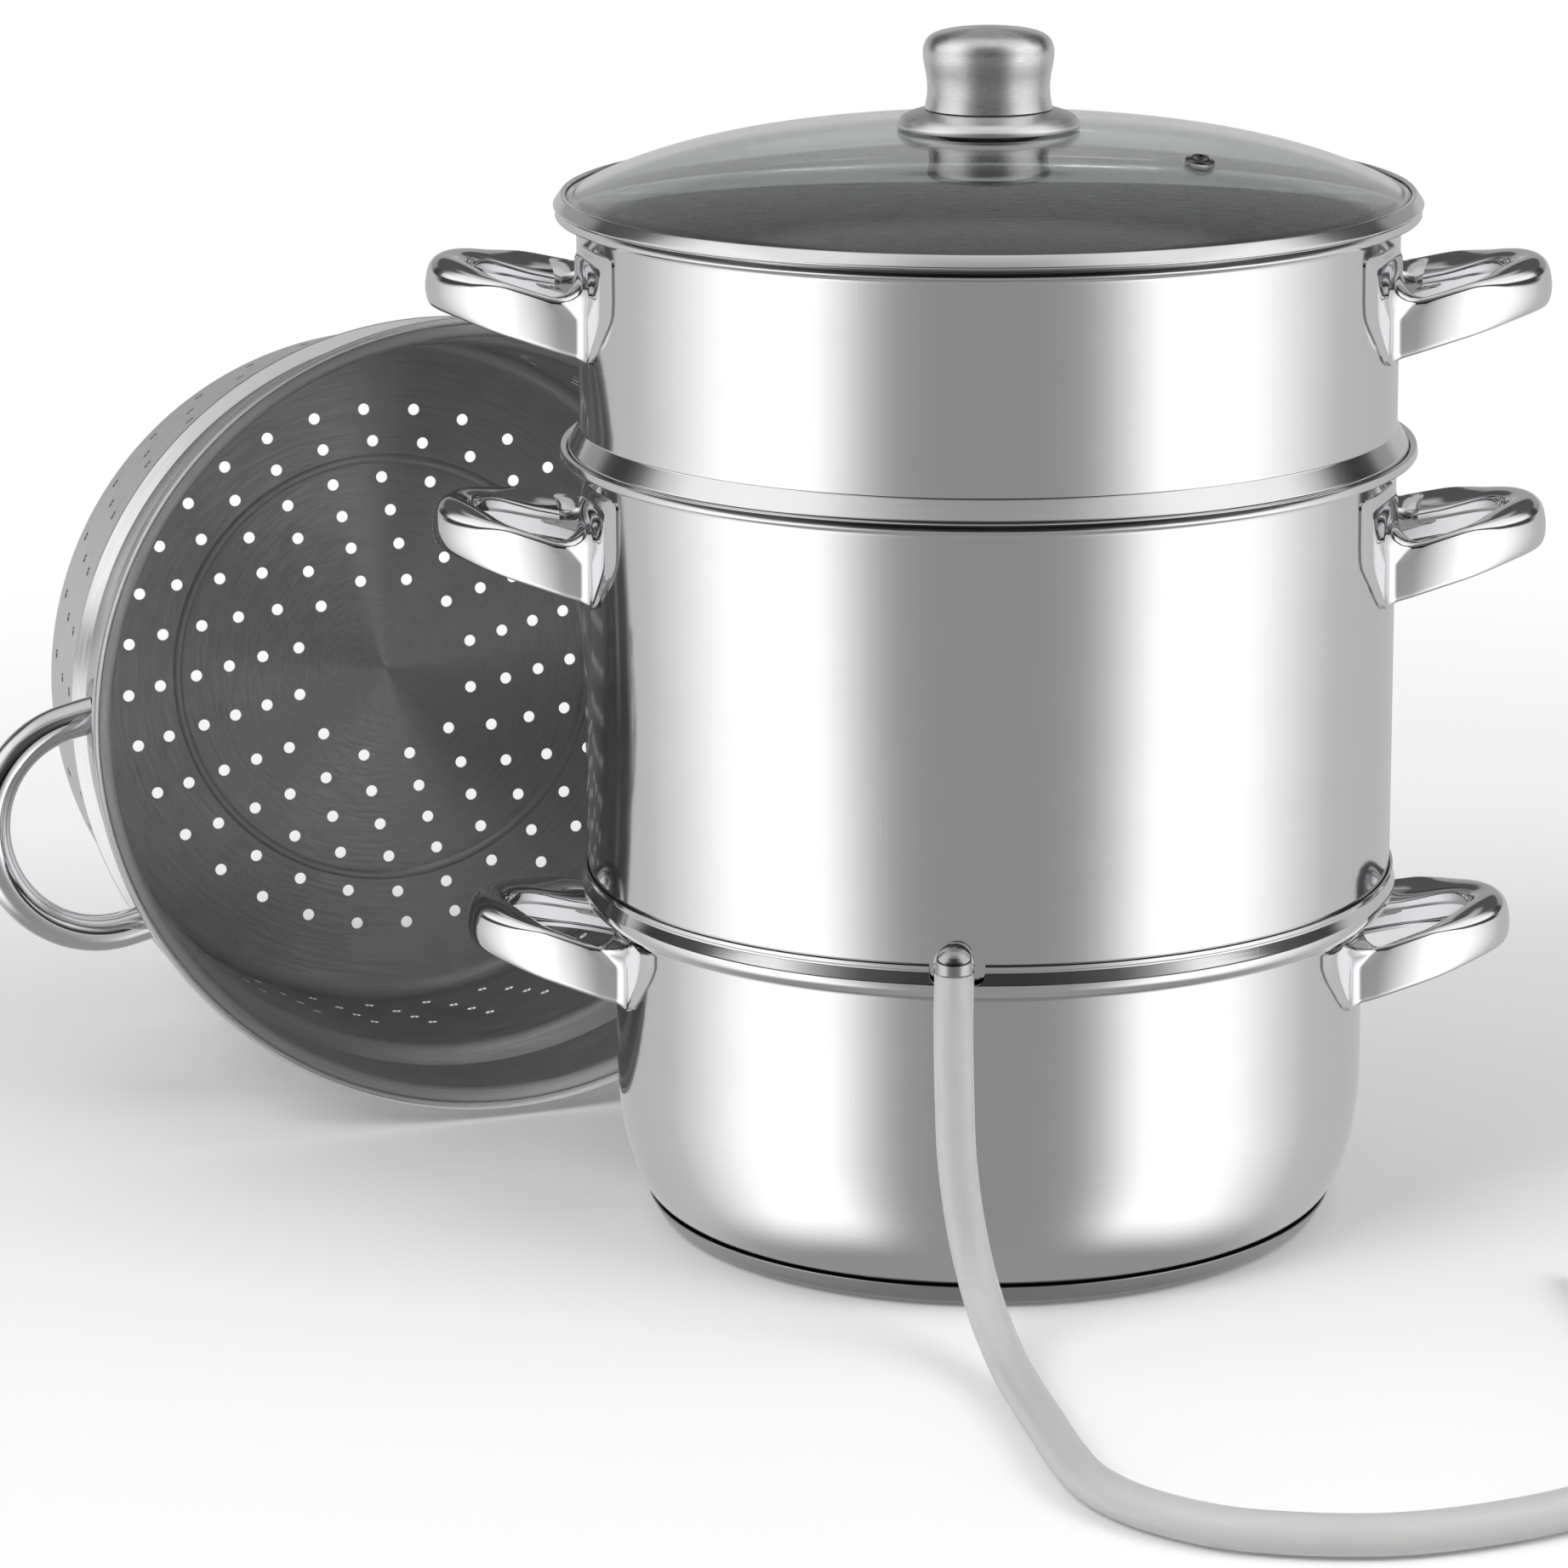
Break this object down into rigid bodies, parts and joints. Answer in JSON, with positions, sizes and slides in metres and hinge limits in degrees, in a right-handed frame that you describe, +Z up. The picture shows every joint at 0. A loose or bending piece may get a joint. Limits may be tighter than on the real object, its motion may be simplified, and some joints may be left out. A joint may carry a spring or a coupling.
{
  "type": "steam juicer",
  "caption": "Stacked steel steam juicer with a water pot, juice kettle with spout and hose, steamer tier, domed glass lid and a loose perforated strainer tier.",
  "frame": {"origin": "centre of the water pot's flat base, on the surface it stands on", "axes": "+X to the right, along the line between the handles; +Z up; -Y to the front, where the spout is"},
  "size_m": [0.5803, 0.597, 0.3852],
  "materials": {
    "polished_steel": "mirror polished stainless steel",
    "satin_steel": "satin brushed stainless steel",
    "base_steel": "darker brushed steel",
    "base_aluminium": "plain pressed",
    "lid_glass": "clear tempered glass",
    "silicone": "translucent white silicone"
  },
  "bodies": {
    "water_pot": {"pot_shell": "polished_steel", "pot_base_core": "base_aluminium", "pot_base_cap": "base_steel", "pot_handle_left": "polished_steel", "pot_handle_right": "polished_steel"},
    "juice_kettle": {"kettle_shell": "polished_steel", "steam_cone": "satin_steel", "kettle_handle_left": "polished_steel", "kettle_handle_right": "polished_steel", "spout_elbow": "polished_steel", "spout_collar": "satin_steel", "juice_hose": "silicone", "clamp_lower_jaw": "satin_steel", "clamp_pin": "satin_steel", "clamp_spring": "satin_steel"},
    "clamp_jaw": {"clamp_upper_jaw": "satin_steel"},
    "steamer": {"steamer_shell": "polished_steel", "steamer_handle_left": "polished_steel", "steamer_handle_right": "polished_steel"},
    "lid": {"lid_glass": "lid_glass", "lid_band": "polished_steel", "knob_cap": "satin_steel", "knob_skirt": "polished_steel", "knob_gasket": "silicone", "lid_washer": "polished_steel", "lid_screw": "satin_steel", "steam_vent": "polished_steel"},
    "strainer": {"strainer_shell": "satin_steel", "strainer_handle_left": "polished_steel", "strainer_handle_right": "polished_steel", "strainer_bracket_left_a": "satin_steel", "strainer_bracket_left_b": "satin_steel", "strainer_bracket_right_a": "satin_steel", "strainer_bracket_right_b": "satin_steel"}
  },
  "joints": [
    {"name": "kettle_lift", "type": "slide", "parent": "water_pot", "child": "juice_kettle", "axis": [0, 0, 1], "range_m": [0, 0.06]},
    {"name": "steamer_lift", "type": "slide", "parent": "juice_kettle", "child": "steamer", "axis": [0, 0, 1], "range_m": [0, 0.11]},
    {"name": "lid_lift", "type": "slide", "parent": "steamer", "child": "lid", "axis": [0, 0, 1], "range_m": [0, 0.06]},
    {"name": "strainer_lift", "type": "slide", "parent": "water_pot", "child": "strainer", "axis": [0, 0, 1], "range_m": [0, 0.1]},
    {"name": "clamp_hinge", "type": "hinge", "parent": "juice_kettle", "child": "clamp_jaw", "pos_m": [0.214, -0.2025, 0.0076], "axis": [0, 1, 0], "range_deg": [0, 20], "stiffness_Nm_per_rad": 0.05, "springref_deg": -11.46, "deforming": ["clamp_spring"]}
  ]
}
